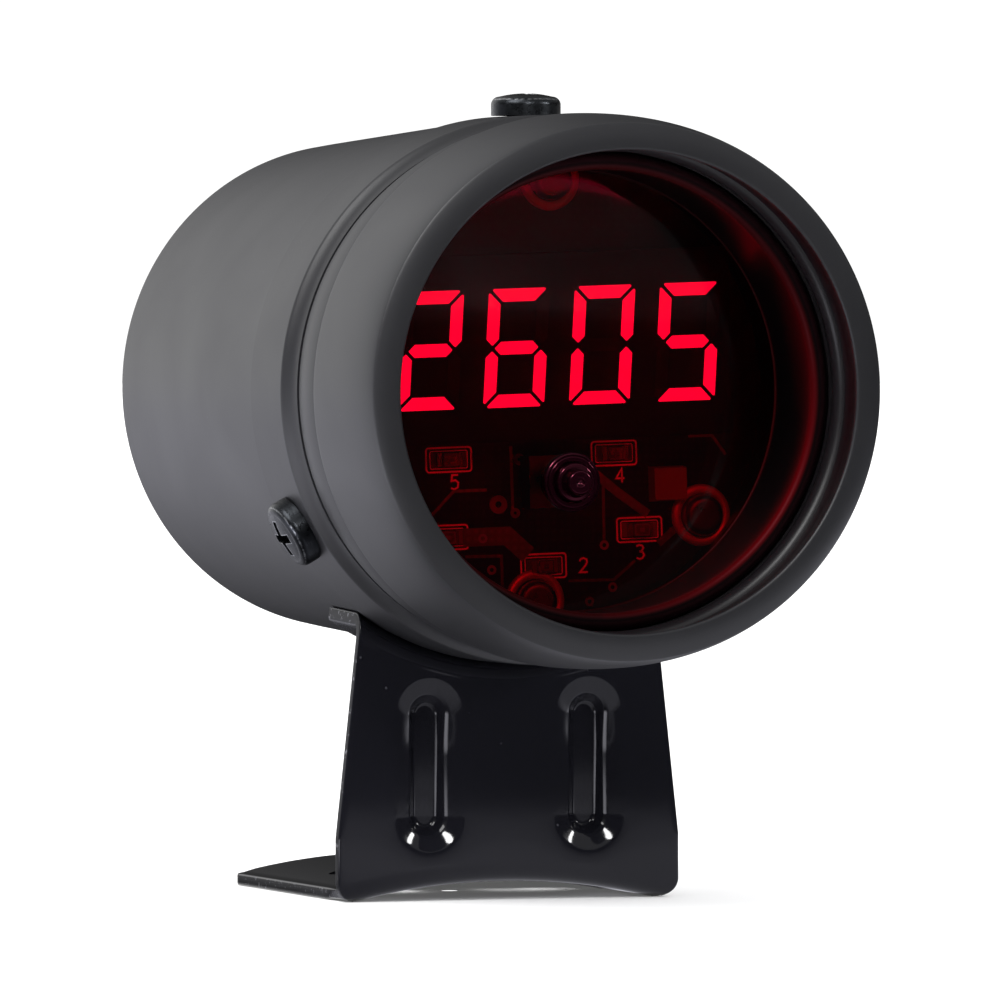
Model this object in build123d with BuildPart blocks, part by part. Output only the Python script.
from build123d import *
from math import asin, cos, degrees, radians, sin, sqrt, tan
import os

# A dashboard tachometer in a round pod that stands on a folded sheet bracket.
# Millimetres. X to the right, Y from the dial to the cable end, Z up.
# The origin is midway between the two foot slots, on the surface that the foot stands on.
# Depths are measured back from the front of the visor, radii from the pod's own axis.

# Pod: visor ring in front, cup behind
axis_height = 61.8
slots_depth = 66.0
case_gap = 0.1
skirt_wall = 1.2
skirt_gap = 0.1
band_wall = 1.8
ring_depth = 18.5
crest_fall = 2.0
mouth_depth = 1.6
mouth_shoulder = 1.5
groove_depth = 20.5
groove_fall = 1.05
ridge_depth = 24.6
ridge_fall = 0.65
parting_depth = 28.7
parting_fall = 1.4
parting_gap = 0.15
cove_fall = 1.2
cove_length = 2.5
cove_round = 0.8
band_step = 0.3
tail_fall = 2.2
tail_depth = 104.5
tail_round = 1.2
cup_wall = 3.2
rear_wall = 2.5
skirt_to_step = 0.5
clamp_gap = 0.3

# Pod screws, pan heads with a cross and a slot
pod_screw_setback = 8.8
pod_screw_count = 3
head_radius = 4.2
head_height = 2.7
head_round = 1.1
shank_radius = 1.95
shank_clearance = 0.2
thread_clearance = 0.05
cross_length = 4.6
cross_width = 1.1
cross_depth = 1.5
drive_width = 0.9
drive_depth = 0.8
tip_clearance = 0.2

# Cable grommet in the rear wall
grommet_hole = 5.1
grommet_play = 0.1
grommet_flange = 6.6
grommet_lip = 1.4
grommet_bore = 3.2

# Gauge: bezel, lens, gasket, case and case back
gauge_roll = 1.9
bezel_front = 9.0
bezel_gap = 0.1
bezel_wall = 2.1
bezel_draft = 0.2
bezel_round = 0.9
bezel_flange = 1.4
lens_front = 22.4
lens_thickness = 2.0
lens_gap = 0.3
gasket_width = 1.2
gasket_thickness = 0.8
case_wall = 1.4
case_overhang = 1.8
part_headroom = 1.5
back_thickness = 1.2
back_spigot = 2.0
back_gap = 0.1
wire_hole_radius = 5.0
flange_play = 0.1

# Main board on the posts of the case back
board_thickness = 1.6
board_gap = 0.4
post_edge = 0.5
post_radius = 2.5
post_angles = (86.0, -94.0, -38.6, -141.4)
board_screw_radius = 1.2
board_head_radius = 2.5
board_head_height = 1.8
board_hole_radius = 1.5
pilot_play = 0.05
board_screw_grip = 6.0
pilot_spare = 1.0

# Four digit display
digit_segments = ("abged", "acdefg", "abcdef", "acdfg")
all_segments = "abcdefg"
digit_pitch = 10.84
digit_height = 14.15
digit_width = 7.7
digit_slant = 5.0
segment_width = 1.55
segment_gap = 0.3
segment_depth = 0.6
segment_round = 0.16
display_rise = 5.3
display_side_margin = 0.12
display_top_margin = 4.125
display_clearance = 1.06
display_gap = 0.4
display_depth = 6.4
display_standoff = 0.4
pin_radius = 0.25
pin_play = 0.1
pin_pitch = 2.54
pins_per_row = 6
pin_rows_width = 15.24
pin_tail = 1.4

# Push button over its switch
button_drop = 10.9
button_travel = 0.3
cap_radius = 2.4
cap_shoulder_proud = 1.0
cap_proud = 3.7
cap_tip_radius = 1.5
cap_tip_round = 0.35
cap_lift = 1.6
dimple_radius = 0.5
dimple_depth = 0.3
collar_radius = 3.55
collar_flange = 1.2
collar_round = 0.7
collar_wall = 0.4
collar_tail = 0.7
run_clearance = 0.05
stem_radius = 1.7
stem_setback = 0.6
stem_flange_radius = 2.3
stem_flange = 0.4
stem_nose_radius = 1.0
stem_nose = 0.3
switch_side = 6.2
switch_height = 3.6
switch_plate = 0.3
switch_cavity = 2.8
switch_floor = 0.8
dome_rim = 2.5
dome_thickness = 0.15
dome_clearance = 0.05

# Parts soldered to the board
led_length = 3.2
led_width = 1.6
led_base = 0.5
led_lens_length = 2.0
led_lens = 0.6
led_row_shift = -0.5
led_row_half = 12.35
led_row_drop = 17.2
led_middle_drop = 21.1
led_upper_left = 12.1
led_upper_right = 8.9
led_upper_drop = 7.9
block_length = 4.4
block_width = 4.2
block_height = 1.9
block_side = 15.4
block_drop = 11.8
resistor_length = 2.0
resistor_width = 1.25
resistor_height = 0.5
resistor_count = 5
resistor_pitch = 3.2
resistor_drop = 7.0
chip_length = 12.8
chip_width = 7.5
chip_height = 2.3
regulator_side = 6.4
regulator_height = 2.3
tab_length = 1.6
tab_thickness = 0.5
can_radius = 3.15
can_height = 7.7
can_base = 1.0
side_part_reach = 15.0
header_length = 12.4
header_width = 5.8
header_height = 7.0
header_wall = 0.8
header_floor = 2.0
header_drop = 14.5

# Bracket, one folded sheet
sheet = 1.5
bend_inside = 1.0
fold_strip = 3.0
web_bottom_half = 21.4
web_taper = 4.4
web_taper_height = 7.8
edge_roll = 2.4
saddle_edge = 4.9
saddle_gap = 0.1
foot_back = 88.0
foot_arch = 2.2
foot_half = 20.2
foot_neck = 5.0
foot_corner = 4.0
slot_width = 4.8
slot_length = 10.0
slot_spread = 21.0
rib_spread = 20.4
rib_foot = 7.6
rib_headroom = 1.4
rib_width = 5.1
rib_depth = 2.2
rib_rim = 1.6
rib_floor_round = 0.45
rib_back_round = 1.3

# Bracket screw, washer and nut
washer_clearance = 0.6
bracket_hole = 2.25
nut_seat_rise = 1.0
nut_seat_side = 8.6
nut_seat_root = 1.5
washer_radius = 4.5
washer_thickness = 0.8
nut_flats = 7.0
nut_height = 3.2
screw_tip = 0.8

front_y = -slots_depth
pod_axis = Axis((0, front_y, axis_height), (0, 1, 0))
os.makedirs("parts", exist_ok=True)



# Sizes that follow from those above
display_width = len(digit_segments) * digit_pitch + 2 * display_side_margin
display_height = digit_height + 2 * display_top_margin
display_reach = sqrt((display_width / 2) ** 2 + (display_rise + display_height / 2) ** 2)
case_bore = display_reach + display_clearance
case_radius = case_bore + case_wall
skirt_inside = case_radius + case_gap
skirt_outside = skirt_inside + skirt_wall
cup_bore = skirt_outside + skirt_gap
ring_radius = cup_bore + band_wall
mouth_radius = skirt_inside - mouth_shoulder
shell_radius = ring_radius - band_step
tail_radius = shell_radius - tail_fall
lens_radius = skirt_inside - lens_gap
lens_back = lens_front + lens_thickness
display_front = lens_back + display_gap
display_back = display_front + display_depth
board_front = display_back + display_standoff
board_back = board_front + board_thickness
case_back = board_back + can_height + part_headroom + back_spigot
skirt_back = case_back - case_overhang
band_back = skirt_back + skirt_to_step
web_depth = band_back + band_step
bend_outside = bend_inside + sheet
bracket_screw_depth = web_depth + bend_outside + washer_clearance + washer_radius


def across(depth, roll=0.0):
    """Plane square to the pod's axis, seen from the dial's side: x right, y up."""
    turn = radians(roll)
    middle = (0, front_y + depth, axis_height)
    return Plane(origin=middle, x_dir=(cos(turn), 0, sin(turn)), z_dir=(0, -1, 0))


def behind(depth, roll=0.0):
    """The same plane seen from the cable end: y up, and x to the dial's left."""
    turn = radians(roll)
    middle = (0, front_y + depth, axis_height)
    return Plane(origin=middle, x_dir=(-cos(turn), 0, -sin(turn)), z_dir=(0, 1, 0))


def radial(angle, centre_height=axis_height):
    """Plane through an axis along Y: x is the depth, y the radius at this angle from +X."""
    turn = radians(angle)
    middle = (0, front_y, centre_height)
    return Plane(origin=middle, x_dir=(0, 1, 0), z_dir=(sin(turn), 0, -cos(turn)))


def spoke(angle, depth, radius):
    """Plane on a radius of the pod, with its normal outwards."""
    turn = radians(angle)
    middle = (radius * cos(turn), front_y + depth, axis_height + radius * sin(turn))
    return Plane(origin=middle, x_dir=(0, 1, 0), z_dir=(cos(turn), 0, sin(turn)))


def shell_outside(depth):
    """Outer radius of the tapered shell behind the band."""
    fall = (shell_radius - tail_radius) / (tail_depth - band_back)
    return shell_radius - fall * (depth - band_back)


section = radial(90)
flange_front = lens_front - bezel_flange
screw_seats = [
    spoke(90 + turn * 360 / pod_screw_count, parting_depth + pod_screw_setback, ring_radius)
    for turn in range(pod_screw_count)
]

# Visor ring: rounded lip, swelling outside, groove and ridge, and the skirt inside the cup
with BuildPart() as visor_ring:
    with BuildSketch(section):
        with BuildLine():
            crest_radius = ring_radius - crest_fall
            crest = (0, crest_radius)
            groove = (groove_depth, ring_radius - groove_fall)
            parting = (parting_depth, ring_radius - parting_fall)
            mouth = (mouth_depth, mouth_radius)
            TangentArc(crest, mouth, tangent=(0, -1))
            EllipticalCenterArc(
                (ring_depth, crest_radius), ring_depth, crest_fall, 90, arc_size=90
            )
            TangentArc((ring_depth, ring_radius), groove, tangent=(1, 0))
            ThreePointArc(groove, (ridge_depth, ring_radius - ridge_fall), parting)
            Polyline(
                parting,
                (parting_depth, skirt_outside),
                (skirt_back, skirt_outside),
                (skirt_back, skirt_inside),
                (flange_front, skirt_inside),
                (flange_front, mouth_radius),
                mouth,
            )
        make_face()
    revolve(axis=pod_axis)
    with Locations(*screw_seats):
        Hole(shank_radius + thread_clearance, depth=ring_radius - skirt_inside + skirt_wall)
visor_ring.part.label = "visor_ring"
export_step(visor_ring.part, "parts/visor_ring.step")

# Cup: band under the screws, tapered shell and rear wall
cup_front = parting_depth + parting_gap
case_stop = case_back + back_thickness
rear_inside = tail_depth - rear_wall
nut_seat = shell_outside(bracket_screw_depth) - cup_wall - nut_seat_rise
screw_y = front_y + bracket_screw_depth
with BuildPart() as pod_cup:
    with BuildSketch(section):
        with BuildLine():
            cove_end = (cup_front + cove_length, ring_radius)
            cove_start = (cup_front, ring_radius - cove_fall)
            TangentArc(cove_start, cove_end, tangent=(1, 0))
            Polyline(
                cove_end,
                (band_back, ring_radius),
                (band_back + band_step, shell_outside(band_back + band_step)),
                (tail_depth, tail_radius),
                (tail_depth, grommet_hole),
                (rear_inside, grommet_hole),
                (rear_inside, shell_outside(rear_inside) - cup_wall),
                (case_stop, shell_outside(case_stop) - cup_wall),
                (case_stop, case_radius + clamp_gap),
                (skirt_back, case_radius + clamp_gap),
                (skirt_back, cup_bore),
                (cup_front, cup_bore),
                cove_start,
            )
        make_face()
    revolve(axis=pod_axis)
    rims = pod_cup.edges().filter_by(GeomType.CIRCLE)
    tail_rim = rims.group_by(Axis.Y)[-1].sort_by(SortBy.RADIUS)[-1]
    fillet(tail_rim, tail_round)
    cove_y = front_y + cove_end[0]
    fillet(pod_cup.edges().filter_by_position(Axis.Y, cove_y - 0.01, cove_y + 0.01), cove_round)
    with BuildSketch(Plane.XY.offset(axis_height - nut_seat)):
        with Locations((0, screw_y)):
            Rectangle(nut_seat_side, nut_seat_side)
    extrude(amount=-nut_seat_rise - nut_seat_root)
    with Locations((0, screw_y, axis_height - nut_seat)):
        Hole(bracket_hole, depth=ring_radius - nut_seat)
    with Locations(*screw_seats):
        Hole(shank_radius + shank_clearance, depth=ring_radius - cup_bore + skirt_gap)
pod_cup.part.label = "pod_cup"
export_step(pod_cup.part, "parts/pod_cup.step")


def pan_head_screw(length):
    """Pan head above the seat at height zero, with a cross and a slot, and the shank below."""
    with BuildPart() as screw:
        with BuildSketch():
            Circle(head_radius)
        extrude(amount=head_height)
        fillet(screw.edges().group_by(Axis.Z)[-1], head_round)
        with BuildSketch():
            Circle(shank_radius)
        extrude(amount=-length)
        with BuildSketch(Plane.XY.offset(head_height)):
            Rectangle(cross_length, cross_width)
            Rectangle(cross_width, cross_length)
        extrude(amount=-cross_depth, mode=Mode.SUBTRACT)
        with BuildSketch(Plane.XY.offset(head_height)):
            Rectangle(2 * head_radius, drive_width)
        extrude(amount=-drive_depth, mode=Mode.SUBTRACT)
    return screw.part


# Pod screws: seated on the band and threaded into the skirt
pod_screw = pan_head_screw(ring_radius - case_radius - tip_clearance)
with BuildPart() as pod_screws:
    with Locations(*screw_seats):
        add(pod_screw)
pod_screws.part.label = "pod_screws"
export_step(pod_screws.part, "parts/pod_screws.step")

# Rubber grommet that grips the rear wall, with the cable's way out through its middle
with BuildPart() as rear_grommet:
    with BuildSketch(section):
        with BuildLine():
            waist = grommet_hole - grommet_play
            Polyline(
                (rear_inside - grommet_lip, grommet_bore),
                (rear_inside - grommet_lip, grommet_flange),
                (rear_inside, grommet_flange),
                (rear_inside, waist),
                (tail_depth, waist),
                (tail_depth, grommet_flange),
                (tail_depth + grommet_lip, grommet_flange),
                (tail_depth + grommet_lip, grommet_bore),
                close=True,
            )
        make_face()
    revolve(axis=pod_axis)
    rims = rear_grommet.edges().filter_by(GeomType.CIRCLE)
    flange_rims = rims.sort_by(SortBy.RADIUS)[-4:]
    fillet([flange_rims.sort_by(Axis.Y)[0], flange_rims.sort_by(Axis.Y)[-1]], grommet_lip / 2)
rear_grommet.part.label = "rear_grommet"
export_step(rear_grommet.part, "parts/rear_grommet.step")

# Gauge bezel: gloss ring inside the visor, trapped behind the visor's shoulder by its flange
bezel_outside = mouth_radius - bezel_gap
bezel_throat = bezel_outside + bezel_draft - bezel_wall
bezel_flange_outside = skirt_inside - flange_play
with BuildPart() as gauge_bezel:
    with BuildSketch(section):
        with BuildLine():
            Polyline(
                (bezel_front, bezel_throat - bezel_draft),
                (bezel_front, bezel_outside),
                (flange_front, bezel_outside),
                (flange_front, bezel_flange_outside),
                (lens_front, bezel_flange_outside),
                (lens_front, bezel_throat),
                close=True,
            )
        make_face()
    revolve(axis=pod_axis)
    front_rims = gauge_bezel.edges().filter_by(GeomType.CIRCLE).group_by(Axis.Y)[0]
    fillet(front_rims, bezel_round)
gauge_bezel.part.label = "gauge_bezel"
export_step(gauge_bezel.part, "parts/gauge_bezel.step")

# Lens: tinted disc with the button's hole
collar_outside = cap_radius + run_clearance + collar_wall
with BuildPart() as lens:
    with BuildSketch(across(lens_front, gauge_roll)):
        Circle(lens_radius)
        with Locations((0, -button_drop)):
            Circle(collar_outside + run_clearance, mode=Mode.SUBTRACT)
    extrude(amount=-lens_thickness)
lens.part.label = "lens"
export_step(lens.part, "parts/lens.step")

# Gasket between the lens and the case
case_front = lens_back + gasket_thickness
with BuildPart() as lens_gasket:
    with BuildSketch(across(lens_back)):
        Circle(lens_radius)
        Circle(lens_radius - gasket_width, mode=Mode.SUBTRACT)
    extrude(amount=-gasket_thickness)
lens_gasket.part.label = "lens_gasket"
export_step(lens_gasket.part, "parts/lens_gasket.step")

# Case: plain tube behind the gasket
with BuildPart() as gauge_case:
    with BuildSketch(across(case_front)):
        Circle(case_radius)
        Circle(case_bore, mode=Mode.SUBTRACT)
    extrude(amount=case_front - case_back)
gauge_case.part.label = "gauge_case"
export_step(gauge_case.part, "parts/gauge_case.step")

# Case back: flange, spigot and the posts that carry the board
post_reach = case_bore - back_gap - post_edge - post_radius
post_points = [
    (post_reach * cos(radians(angle)), post_reach * sin(radians(angle))) for angle in post_angles
]
pilot_radius = board_screw_radius + pilot_play
with BuildPart() as gauge_back:
    with BuildSketch(across(case_stop)):
        Circle(case_radius)
    extrude(amount=back_thickness)
    with BuildSketch(across(case_back)):
        Circle(case_bore - back_gap)
    extrude(amount=back_spigot)
    with BuildSketch(across(case_back - back_spigot, gauge_roll)):
        with Locations(*post_points):
            Circle(post_radius)
    extrude(amount=case_back - back_spigot - board_back)
    with BuildSketch(across(board_back, gauge_roll)):
        with Locations(*post_points):
            Circle(pilot_radius)
    extrude(amount=-board_screw_grip - pilot_spare, mode=Mode.SUBTRACT)
    with BuildSketch(across(case_stop, gauge_roll)):
        with Locations((0, -header_drop)):
            Circle(wire_hole_radius)
    extrude(amount=back_thickness + back_spigot, mode=Mode.SUBTRACT)
gauge_back.part.label = "gauge_back"
export_step(gauge_back.part, "parts/gauge_back.step")

# Main board: round, with holes for its screws and for the display's pins
with BuildPart() as main_board:
    with BuildSketch(across(board_front, gauge_roll)):
        Circle(case_bore - board_gap)
        with Locations(*post_points):
            Circle(board_hole_radius, mode=Mode.SUBTRACT)
        with Locations((0, display_rise)):
            with GridLocations(pin_pitch, pin_rows_width, pins_per_row, 2):
                Circle(pin_radius + pin_play, mode=Mode.SUBTRACT)
    extrude(amount=-board_thickness)
main_board.part.label = "main_board"
export_step(main_board.part, "parts/main_board.step")

# Board screws, one in each post
with BuildPart() as board_screws:
    with BuildSketch(across(board_front, gauge_roll)):
        with Locations(*post_points):
            Circle(board_head_radius)
    extrude(amount=board_head_height)
    fillet(board_screws.edges().group_by(Axis.Y)[0], board_head_height / 2)
    with BuildSketch(across(board_front, gauge_roll)):
        with Locations(*post_points):
            Circle(board_screw_radius)
    extrude(amount=-board_thickness - board_screw_grip)
board_screws.part.label = "board_screws"
export_step(board_screws.part, "parts/board_screws.step")


def segment_corners(key):
    """Corners of one display segment about its digit's middle, leaning with the digit."""
    side = digit_width / 2
    top = digit_height / 2
    bar = segment_width
    gap = segment_gap
    lying = [
        (gap - side, top),
        (side - gap, top),
        (side - bar - gap, top - bar),
        (bar + gap - side, top - bar),
    ]
    middle = [
        (bar / 2 + gap - side, 0),
        (bar + gap - side, bar / 2),
        (side - bar - gap, bar / 2),
        (side - bar / 2 - gap, 0),
        (side - bar - gap, -bar / 2),
        (bar + gap - side, -bar / 2),
    ]
    standing = [
        (side, top - gap),
        (side, bar / 2 + gap),
        (side - bar / 2, gap),
        (side - bar, bar / 2 + gap),
        (side - bar, top - bar - gap),
    ]
    outlines = {"a": lying, "d": lying, "g": middle, "b": standing, "c": standing}
    outline = outlines.get(key, standing)
    across_sign = -1 if key in "ef" else 1
    up_sign = -1 if key in "cde" else 1
    lean = tan(radians(digit_slant))
    return [
        (across_sign * x + up_sign * y * lean, up_sign * y) for x, y in outline
    ]


def draw_segments(chosen):
    """Draw these segments of each digit in the sketch that is open."""
    for place, keys in enumerate(chosen):
        shift = digit_pitch * (place - (len(chosen) - 1) / 2)
        with Locations((shift, display_rise)):
            for key in keys:
                Polygon(*segment_corners(key), align=None)


dark_keys = [[key for key in all_segments if key not in lit] for lit in digit_segments]
display_face = across(display_front, gauge_roll)

# Display housing with a pocket for every segment
with BuildPart() as display_housing:
    with BuildSketch(display_face):
        with Locations((0, display_rise)):
            Rectangle(display_width, display_height)
    extrude(amount=display_front - display_back)
    with BuildSketch(display_face) as pockets:
        draw_segments([all_segments] * len(digit_segments))
        fillet(pockets.vertices(), segment_round)
    extrude(amount=-segment_depth, mode=Mode.SUBTRACT)
display_housing.part.label = "display_housing"
export_step(display_housing.part, "parts/display_housing.step")

# Segments that are lit, and the ones that stay dark
with BuildPart() as lit_segments:
    with BuildSketch(display_face) as lit_outlines:
        draw_segments(digit_segments)
        fillet(lit_outlines.vertices(), segment_round)
    extrude(amount=-segment_depth)
lit_segments.part.label = "lit_segments"
export_step(lit_segments.part, "parts/lit_segments.step")

with BuildPart() as dark_segments:
    with BuildSketch(display_face) as dark_outlines:
        draw_segments(dark_keys)
        fillet(dark_outlines.vertices(), segment_round)
    extrude(amount=-segment_depth)
dark_segments.part.label = "dark_segments"
export_step(dark_segments.part, "parts/dark_segments.step")

# Display pins through the board
with BuildPart() as display_pins:
    with BuildSketch(across(display_back, gauge_roll)):
        with Locations((0, display_rise)):
            with GridLocations(pin_pitch, pin_rows_width, pins_per_row, 2):
                Circle(pin_radius)
    extrude(amount=display_back - board_back - pin_tail)
display_pins.part.label = "display_pins"
export_step(display_pins.part, "parts/display_pins.step")

# Where the button's own axis stands
button_foot = across(0, gauge_roll).from_local_coords((0, -button_drop, 0))
button_axis = Axis(button_foot, (0, 1, 0))
button_section = Plane(origin=button_foot, x_dir=(0, 1, 0), z_dir=(1, 0, 0))

# Collar: bush in the lens that guides the button
with BuildPart() as button_collar:
    with BuildSketch(button_section):
        with BuildLine():
            collar_bore = cap_radius + run_clearance
            Polyline(
                (lens_front - collar_flange, collar_bore),
                (lens_front - collar_flange, collar_radius),
                (lens_front, collar_radius),
                (lens_front, collar_outside),
                (lens_back + collar_tail, collar_outside),
                (lens_back + collar_tail, collar_bore),
                close=True,
            )
        make_face()
    revolve(axis=button_axis)
    collar_rims = button_collar.edges().filter_by(GeomType.CIRCLE).group_by(Axis.Y)[0]
    fillet(collar_rims.sort_by(SortBy.RADIUS)[-1], collar_round)
button_collar.part.label = "button_collar"
export_step(button_collar.part, "parts/button_collar.step")

# Cap: cone with a dimpled tip, bored from behind for the stem
cap_tip = lens_front - cap_proud
switch_front = board_front - switch_height
cap_back = switch_front - cap_lift
stem_front = lens_front + stem_setback
with BuildPart() as button_cap:
    with BuildSketch(button_section):
        with BuildLine():
            Polyline(
                (cap_tip + dimple_depth, 0),
                (cap_tip, dimple_radius),
                (cap_tip, cap_tip_radius),
                (lens_front - cap_shoulder_proud, cap_radius),
                (cap_back, cap_radius),
                (cap_back, stem_radius + run_clearance),
                (stem_front, stem_radius + run_clearance),
                (stem_front, 0),
                close=True,
            )
        make_face()
    revolve(axis=button_axis)
    tip_rims = button_cap.edges().filter_by(GeomType.CIRCLE).group_by(Axis.Y)[0]
    fillet(tip_rims.sort_by(SortBy.RADIUS)[-1], cap_tip_round)
button_cap.part.label = "button_cap"
export_step(button_cap.part, "parts/button_cap.step")

# Stem: carries the cap, and its flange is held under the switch's plate
cavity_front = switch_front + switch_plate
flange_seat = cavity_front + run_clearance
nose_seat = flange_seat + stem_flange
nose_end = nose_seat + stem_nose
with BuildPart() as switch_stem:
    with BuildSketch(button_section):
        with BuildLine():
            Polyline(
                (stem_front, 0),
                (stem_front, stem_radius),
                (flange_seat, stem_radius),
                (flange_seat, stem_flange_radius),
                (nose_seat, stem_flange_radius),
                (nose_seat, stem_nose_radius),
                (nose_end, stem_nose_radius),
                (nose_end, 0),
                close=True,
            )
        make_face()
    revolve(axis=button_axis)
switch_stem.part.label = "switch_stem"
export_step(switch_stem.part, "parts/switch_stem.step")

# Switch base, plate and snap dome
cavity_floor = board_front - switch_floor
with BuildPart() as switch_base:
    with BuildSketch(across(cavity_front, gauge_roll)):
        with Locations((0, -button_drop)):
            Rectangle(switch_side, switch_side)
    extrude(amount=cavity_front - board_front)
    with BuildSketch(across(cavity_front, gauge_roll)):
        with Locations((0, -button_drop)):
            Circle(switch_cavity)
    extrude(amount=cavity_front - cavity_floor, mode=Mode.SUBTRACT)
switch_base.part.label = "switch_base"
export_step(switch_base.part, "parts/switch_base.step")

with BuildPart() as switch_cover:
    with BuildSketch(across(switch_front, gauge_roll)):
        with Locations((0, -button_drop)):
            Rectangle(switch_side, switch_side)
            Circle(stem_radius + run_clearance, mode=Mode.SUBTRACT)
    extrude(amount=-switch_plate)
switch_cover.part.label = "switch_cover"
export_step(switch_cover.part, "parts/switch_cover.step")

dome_top = nose_end + button_travel + dome_clearance
dome_height = cavity_floor - dome_top
dome_radius = (dome_rim**2 + dome_height**2) / (2 * dome_height)
with BuildPart() as switch_dome:
    with BuildSketch(button_section):
        with Locations((dome_top + dome_radius, 0)):
            Circle(dome_radius)
            Circle(dome_radius - dome_thickness, mode=Mode.SUBTRACT)
        with Locations((dome_top, 0)):
            Rectangle(dome_height, dome_rim, align=Align.MIN, mode=Mode.INTERSECT)
    revolve(axis=button_axis)
switch_dome.part.label = "switch_dome"
export_step(switch_dome.part, "parts/switch_dome.step")

# Surface lamps of the warning row and the two beside the button
led_points = [
    (led_row_shift - led_row_half, -led_row_drop),
    (led_row_shift, -led_middle_drop),
    (led_row_shift + led_row_half, -led_row_drop),
    (-led_upper_left, -led_upper_drop),
    (led_upper_right, -led_upper_drop),
]
with BuildPart() as surface_leds:
    with BuildSketch(across(board_front, gauge_roll)):
        with Locations(*led_points):
            Rectangle(led_length, led_width)
    extrude(amount=led_base)
    with BuildSketch(across(board_front - led_base, gauge_roll)):
        with Locations(*led_points):
            Rectangle(led_lens_length, led_width)
    extrude(amount=led_lens, taper=12)
surface_leds.part.label = "surface_leds"
export_step(surface_leds.part, "parts/surface_leds.step")

with BuildPart() as moulded_capacitor:
    with BuildSketch(across(board_front, gauge_roll)):
        with Locations((block_side, -block_drop)):
            Rectangle(block_length, block_width)
    extrude(amount=block_height, taper=5)
moulded_capacitor.part.label = "moulded_capacitor"
export_step(moulded_capacitor.part, "parts/moulded_capacitor.step")

# Parts on the back of the board
with BuildPart() as chip_resistors:
    with BuildSketch(behind(board_back, gauge_roll)):
        with Locations((0, -resistor_drop)):
            with GridLocations(resistor_pitch, 1, resistor_count, 1):
                Rectangle(resistor_width, resistor_length)
    extrude(amount=resistor_height)
chip_resistors.part.label = "chip_resistors"
export_step(chip_resistors.part, "parts/chip_resistors.step")

with BuildPart() as controller_chip:
    with BuildSketch(behind(board_back, gauge_roll)):
        with Locations((0, display_rise)):
            Rectangle(chip_length, chip_width)
    extrude(amount=chip_height, taper=5)
controller_chip.part.label = "controller_chip"
export_step(controller_chip.part, "parts/controller_chip.step")

with BuildPart() as regulator:
    with BuildSketch(behind(board_back, gauge_roll)):
        with Locations((side_part_reach, display_rise)):
            Rectangle(regulator_side, regulator_side)
    extrude(amount=regulator_height, taper=5)
    with BuildSketch(behind(board_back, gauge_roll)):
        with Locations((side_part_reach, display_rise + regulator_side / 2)):
            Rectangle(regulator_side - 2 * tab_thickness, 2 * tab_length)
    extrude(amount=tab_thickness)
regulator.part.label = "regulator"
export_step(regulator.part, "parts/regulator.step")

with BuildPart() as filter_capacitor:
    with BuildSketch(behind(board_back, gauge_roll)):
        with Locations((-side_part_reach, display_rise)):
            RectangleRounded(2 * can_radius, 2 * can_radius, can_base)
    extrude(amount=can_base)
    with BuildSketch(behind(board_back + can_base, gauge_roll)):
        with Locations((-side_part_reach, display_rise)):
            Circle(can_radius - can_base / 4)
    extrude(amount=can_height - can_base)
    fillet(filter_capacitor.edges().group_by(Axis.Y)[-1], can_base / 2)
filter_capacitor.part.label = "filter_capacitor"
export_step(filter_capacitor.part, "parts/filter_capacitor.step")

with BuildPart() as wire_header:
    with BuildSketch(behind(board_back, gauge_roll)):
        with Locations((0, -header_drop)):
            Rectangle(header_length, header_width)
    extrude(amount=header_height)
    with BuildSketch(behind(board_back + header_floor, gauge_roll)):
        with Locations((0, -header_drop)):
            Rectangle(header_length - 2 * header_wall, header_width - 2 * header_wall)
    extrude(amount=header_height - header_floor, mode=Mode.SUBTRACT)
wire_header.part.label = "wire_header"
export_step(wire_header.part, "parts/wire_header.step")


def saddle_inside(depth):
    """Inner radius of the saddle flange, which follows the shell's taper."""
    return shell_outside(depth) + saddle_gap


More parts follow.
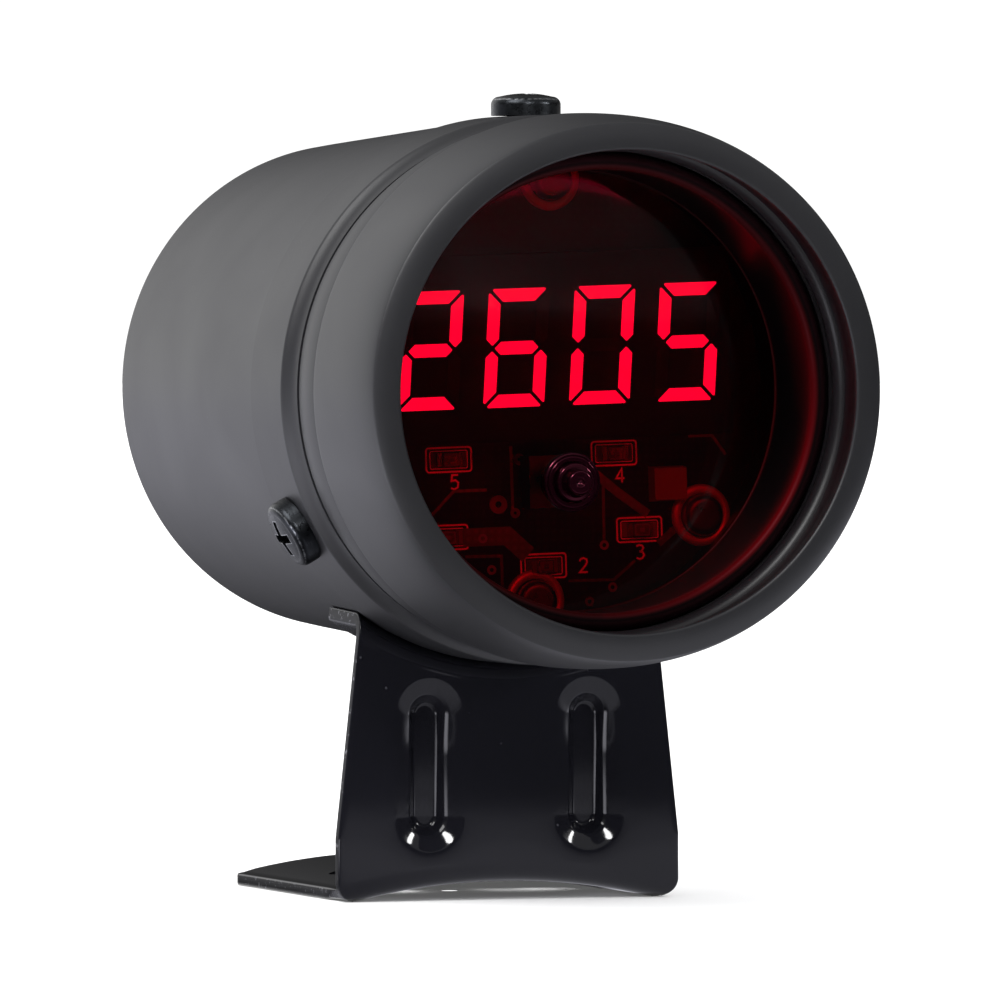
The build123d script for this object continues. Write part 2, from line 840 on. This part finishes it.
# Bracket: saddle, web and arched foot folded from one sheet, with two pressed ribs
saddle_back = bracket_screw_depth + saddle_edge
saddle_turn = degrees(asin(web_bottom_half / saddle_inside(saddle_back)))
arch_span = web_bottom_half - edge_roll
arch_radius = (arch_span**2 + foot_arch**2) / (2 * foot_arch)
arch_centre = foot_arch - arch_radius
arch_axis = Axis((0, front_y, arch_centre), (0, 1, 0))
arch_turn = degrees(asin(web_bottom_half / arch_radius))
taper_rise = axis_height - web_taper_height
web_top_half = web_bottom_half - taper_rise * tan(radians(web_taper))
bend_radius = saddle_inside(web_depth) + bend_outside
bend_drop = sqrt(bend_radius**2 - (rib_spread / 2) ** 2)
rib_top = axis_height - bend_drop - rib_headroom - sheet
rib_length = rib_top - rib_foot
rib_middle = (rib_top + rib_foot) / 2 - axis_height
with BuildPart() as bracket:
    with BuildSketch(radial(saddle_turn - 90)):
        with BuildLine():
            front_inside = saddle_inside(web_depth)
            strip_end = bend_radius + fold_strip
            upper = FilletPolyline(
                (web_depth, strip_end),
                (web_depth, front_inside),
                (saddle_back, saddle_inside(saddle_back)),
                radius=bend_outside,
            )
            lower = FilletPolyline(
                (web_depth + sheet, strip_end),
                (web_depth + sheet, saddle_inside(web_depth + sheet) + sheet),
                (saddle_back, saddle_inside(saddle_back) + sheet),
                radius=bend_inside,
            )
            Line(upper @ 0, lower @ 0)
            Line(upper @ 1, lower @ 1)
        make_face()
    revolve(axis=pod_axis, revolution_arc=2 * saddle_turn)
    with BuildSketch(radial(90 + arch_turn, arch_centre)):
        with BuildLine():
            strip_top = arch_radius + bend_outside + fold_strip
            under = FilletPolyline(
                (foot_back, arch_radius),
                (web_depth, arch_radius),
                (web_depth, strip_top),
                radius=bend_outside,
            )
            over = FilletPolyline(
                (foot_back, arch_radius + sheet),
                (web_depth + sheet, arch_radius + sheet),
                (web_depth + sheet, strip_top),
                radius=bend_inside,
            )
            Line(under @ 0, over @ 0)
            Line(under @ 1, over @ 1)
        make_face()
    revolve(axis=arch_axis, revolution_arc=2 * arch_turn)
    with BuildSketch(across(web_depth)):
        with Locations((0, -axis_height / 2)):
            Rectangle(2 * web_bottom_half, axis_height)
        Circle(strip_end - fold_strip / 2, mode=Mode.SUBTRACT)
        with Locations((0, arch_centre - axis_height)):
            Circle(strip_top - fold_strip / 2, mode=Mode.SUBTRACT)
    extrude(amount=-sheet)
    with BuildSketch(across(web_depth)) as outline:
        with BuildLine():
            Polyline(
                (-web_top_half, 0),
                (-web_bottom_half, -taper_rise),
                (-web_bottom_half, -axis_height),
                (web_bottom_half, -axis_height),
                (web_bottom_half, -taper_rise),
                (web_top_half, 0),
                close=True,
            )
        make_face()
        fillet(outline.vertices().group_by(Axis.Y)[0], edge_roll)
    extrude(amount=foot_back, both=True, mode=Mode.INTERSECT)
    bend_end = front_y + web_depth + bend_outside
    foot_end = front_y + foot_back
    with BuildSketch(Plane.XY) as foot_waste:
        with Locations((0, (bend_end + foot_end) / 2)):
            Rectangle(3 * web_bottom_half, foot_end - bend_end)
        with BuildLine():
            Polyline(
                (-web_bottom_half, bend_end),
                (-foot_half, bend_end + foot_neck),
                (-foot_half, foot_end - foot_corner),
            )
            TangentArc(
                (-foot_half, foot_end - foot_corner),
                (foot_corner - foot_half, foot_end),
                tangent=(0, 1),
            )
            Line((foot_corner - foot_half, foot_end), (foot_half - foot_corner, foot_end))
            TangentArc(
                (foot_half - foot_corner, foot_end),
                (foot_half, foot_end - foot_corner),
                tangent=(1, 0),
            )
            Polyline(
                (foot_half, foot_end - foot_corner),
                (foot_half, bend_end + foot_neck),
                (web_bottom_half, bend_end),
                (-web_bottom_half, bend_end),
            )
        make_face(mode=Mode.SUBTRACT)
    extrude(amount=foot_arch + bend_outside, mode=Mode.SUBTRACT)
    with BuildSketch(Plane.XY):
        with GridLocations(slot_spread, 1, 2, 1):
            SlotOverall(slot_length, slot_width)
    extrude(amount=foot_arch + bend_outside, mode=Mode.SUBTRACT)
    with BuildSketch(across(web_depth + sheet)):
        with Locations((0, rib_middle)):
            with GridLocations(rib_spread, 1, 2, 1):
                SlotOverall(rib_length + 2 * sheet, rib_width + 2 * sheet, rotation=90)
    extrude(amount=-rib_depth)
    boss_edges = bracket.edges(Select.LAST)
    fillet(boss_edges.group_by(Axis.Y)[-1], rib_back_round)
    with BuildSketch(across(web_depth)):
        with Locations((0, rib_middle)):
            with GridLocations(rib_spread, 1, 2, 1):
                SlotOverall(rib_length, rib_width, rotation=90)
    extrude(amount=-rib_depth, mode=Mode.SUBTRACT)
    trough_edges = bracket.edges(Select.LAST)
    fillet(trough_edges.group_by(Axis.Y)[-1], rib_floor_round)
    fillet(trough_edges.group_by(Axis.Y)[0], rib_rim)
    with Locations((0, screw_y, axis_height - ring_radius + sheet)):
        Hole(bracket_hole, depth=3 * sheet)
bracket.part.label = "bracket"
export_step(bracket.part, "parts/bracket.step")

# Bracket screw from below, its washer, and the nut on the flat inside the cup
washer_front = bracket_screw_depth - washer_radius
washer_top = axis_height - saddle_inside(washer_front) - sheet
nut_base = axis_height - nut_seat
with BuildPart() as bracket_washer:
    with BuildSketch(Plane.XY.offset(washer_top)):
        with Locations((0, screw_y)):
            Circle(washer_radius)
            Circle(bracket_hole, mode=Mode.SUBTRACT)
    extrude(amount=-washer_thickness)
bracket_washer.part.label = "bracket_washer"
export_step(bracket_washer.part, "parts/bracket_washer.step")

with BuildPart() as bracket_nut:
    with BuildSketch(Plane.XY.offset(nut_base)):
        with Locations((0, screw_y)):
            RegularPolygon(nut_flats / 2, 6, major_radius=False)
            Circle(shank_radius + thread_clearance, mode=Mode.SUBTRACT)
    extrude(amount=nut_height)
bracket_nut.part.label = "bracket_nut"
export_step(bracket_nut.part, "parts/bracket_nut.step")

head_seat = washer_top - washer_thickness
bracket_blank = pan_head_screw(nut_base + nut_height + screw_tip - head_seat)
screw_place = Plane(origin=(0, screw_y, head_seat), x_dir=(1, 0, 0), z_dir=(0, 0, -1))
with BuildPart() as bracket_screw:
    with Locations(screw_place):
        add(bracket_blank)
bracket_screw.part.label = "bracket_screw"
export_step(bracket_screw.part, "parts/bracket_screw.step")
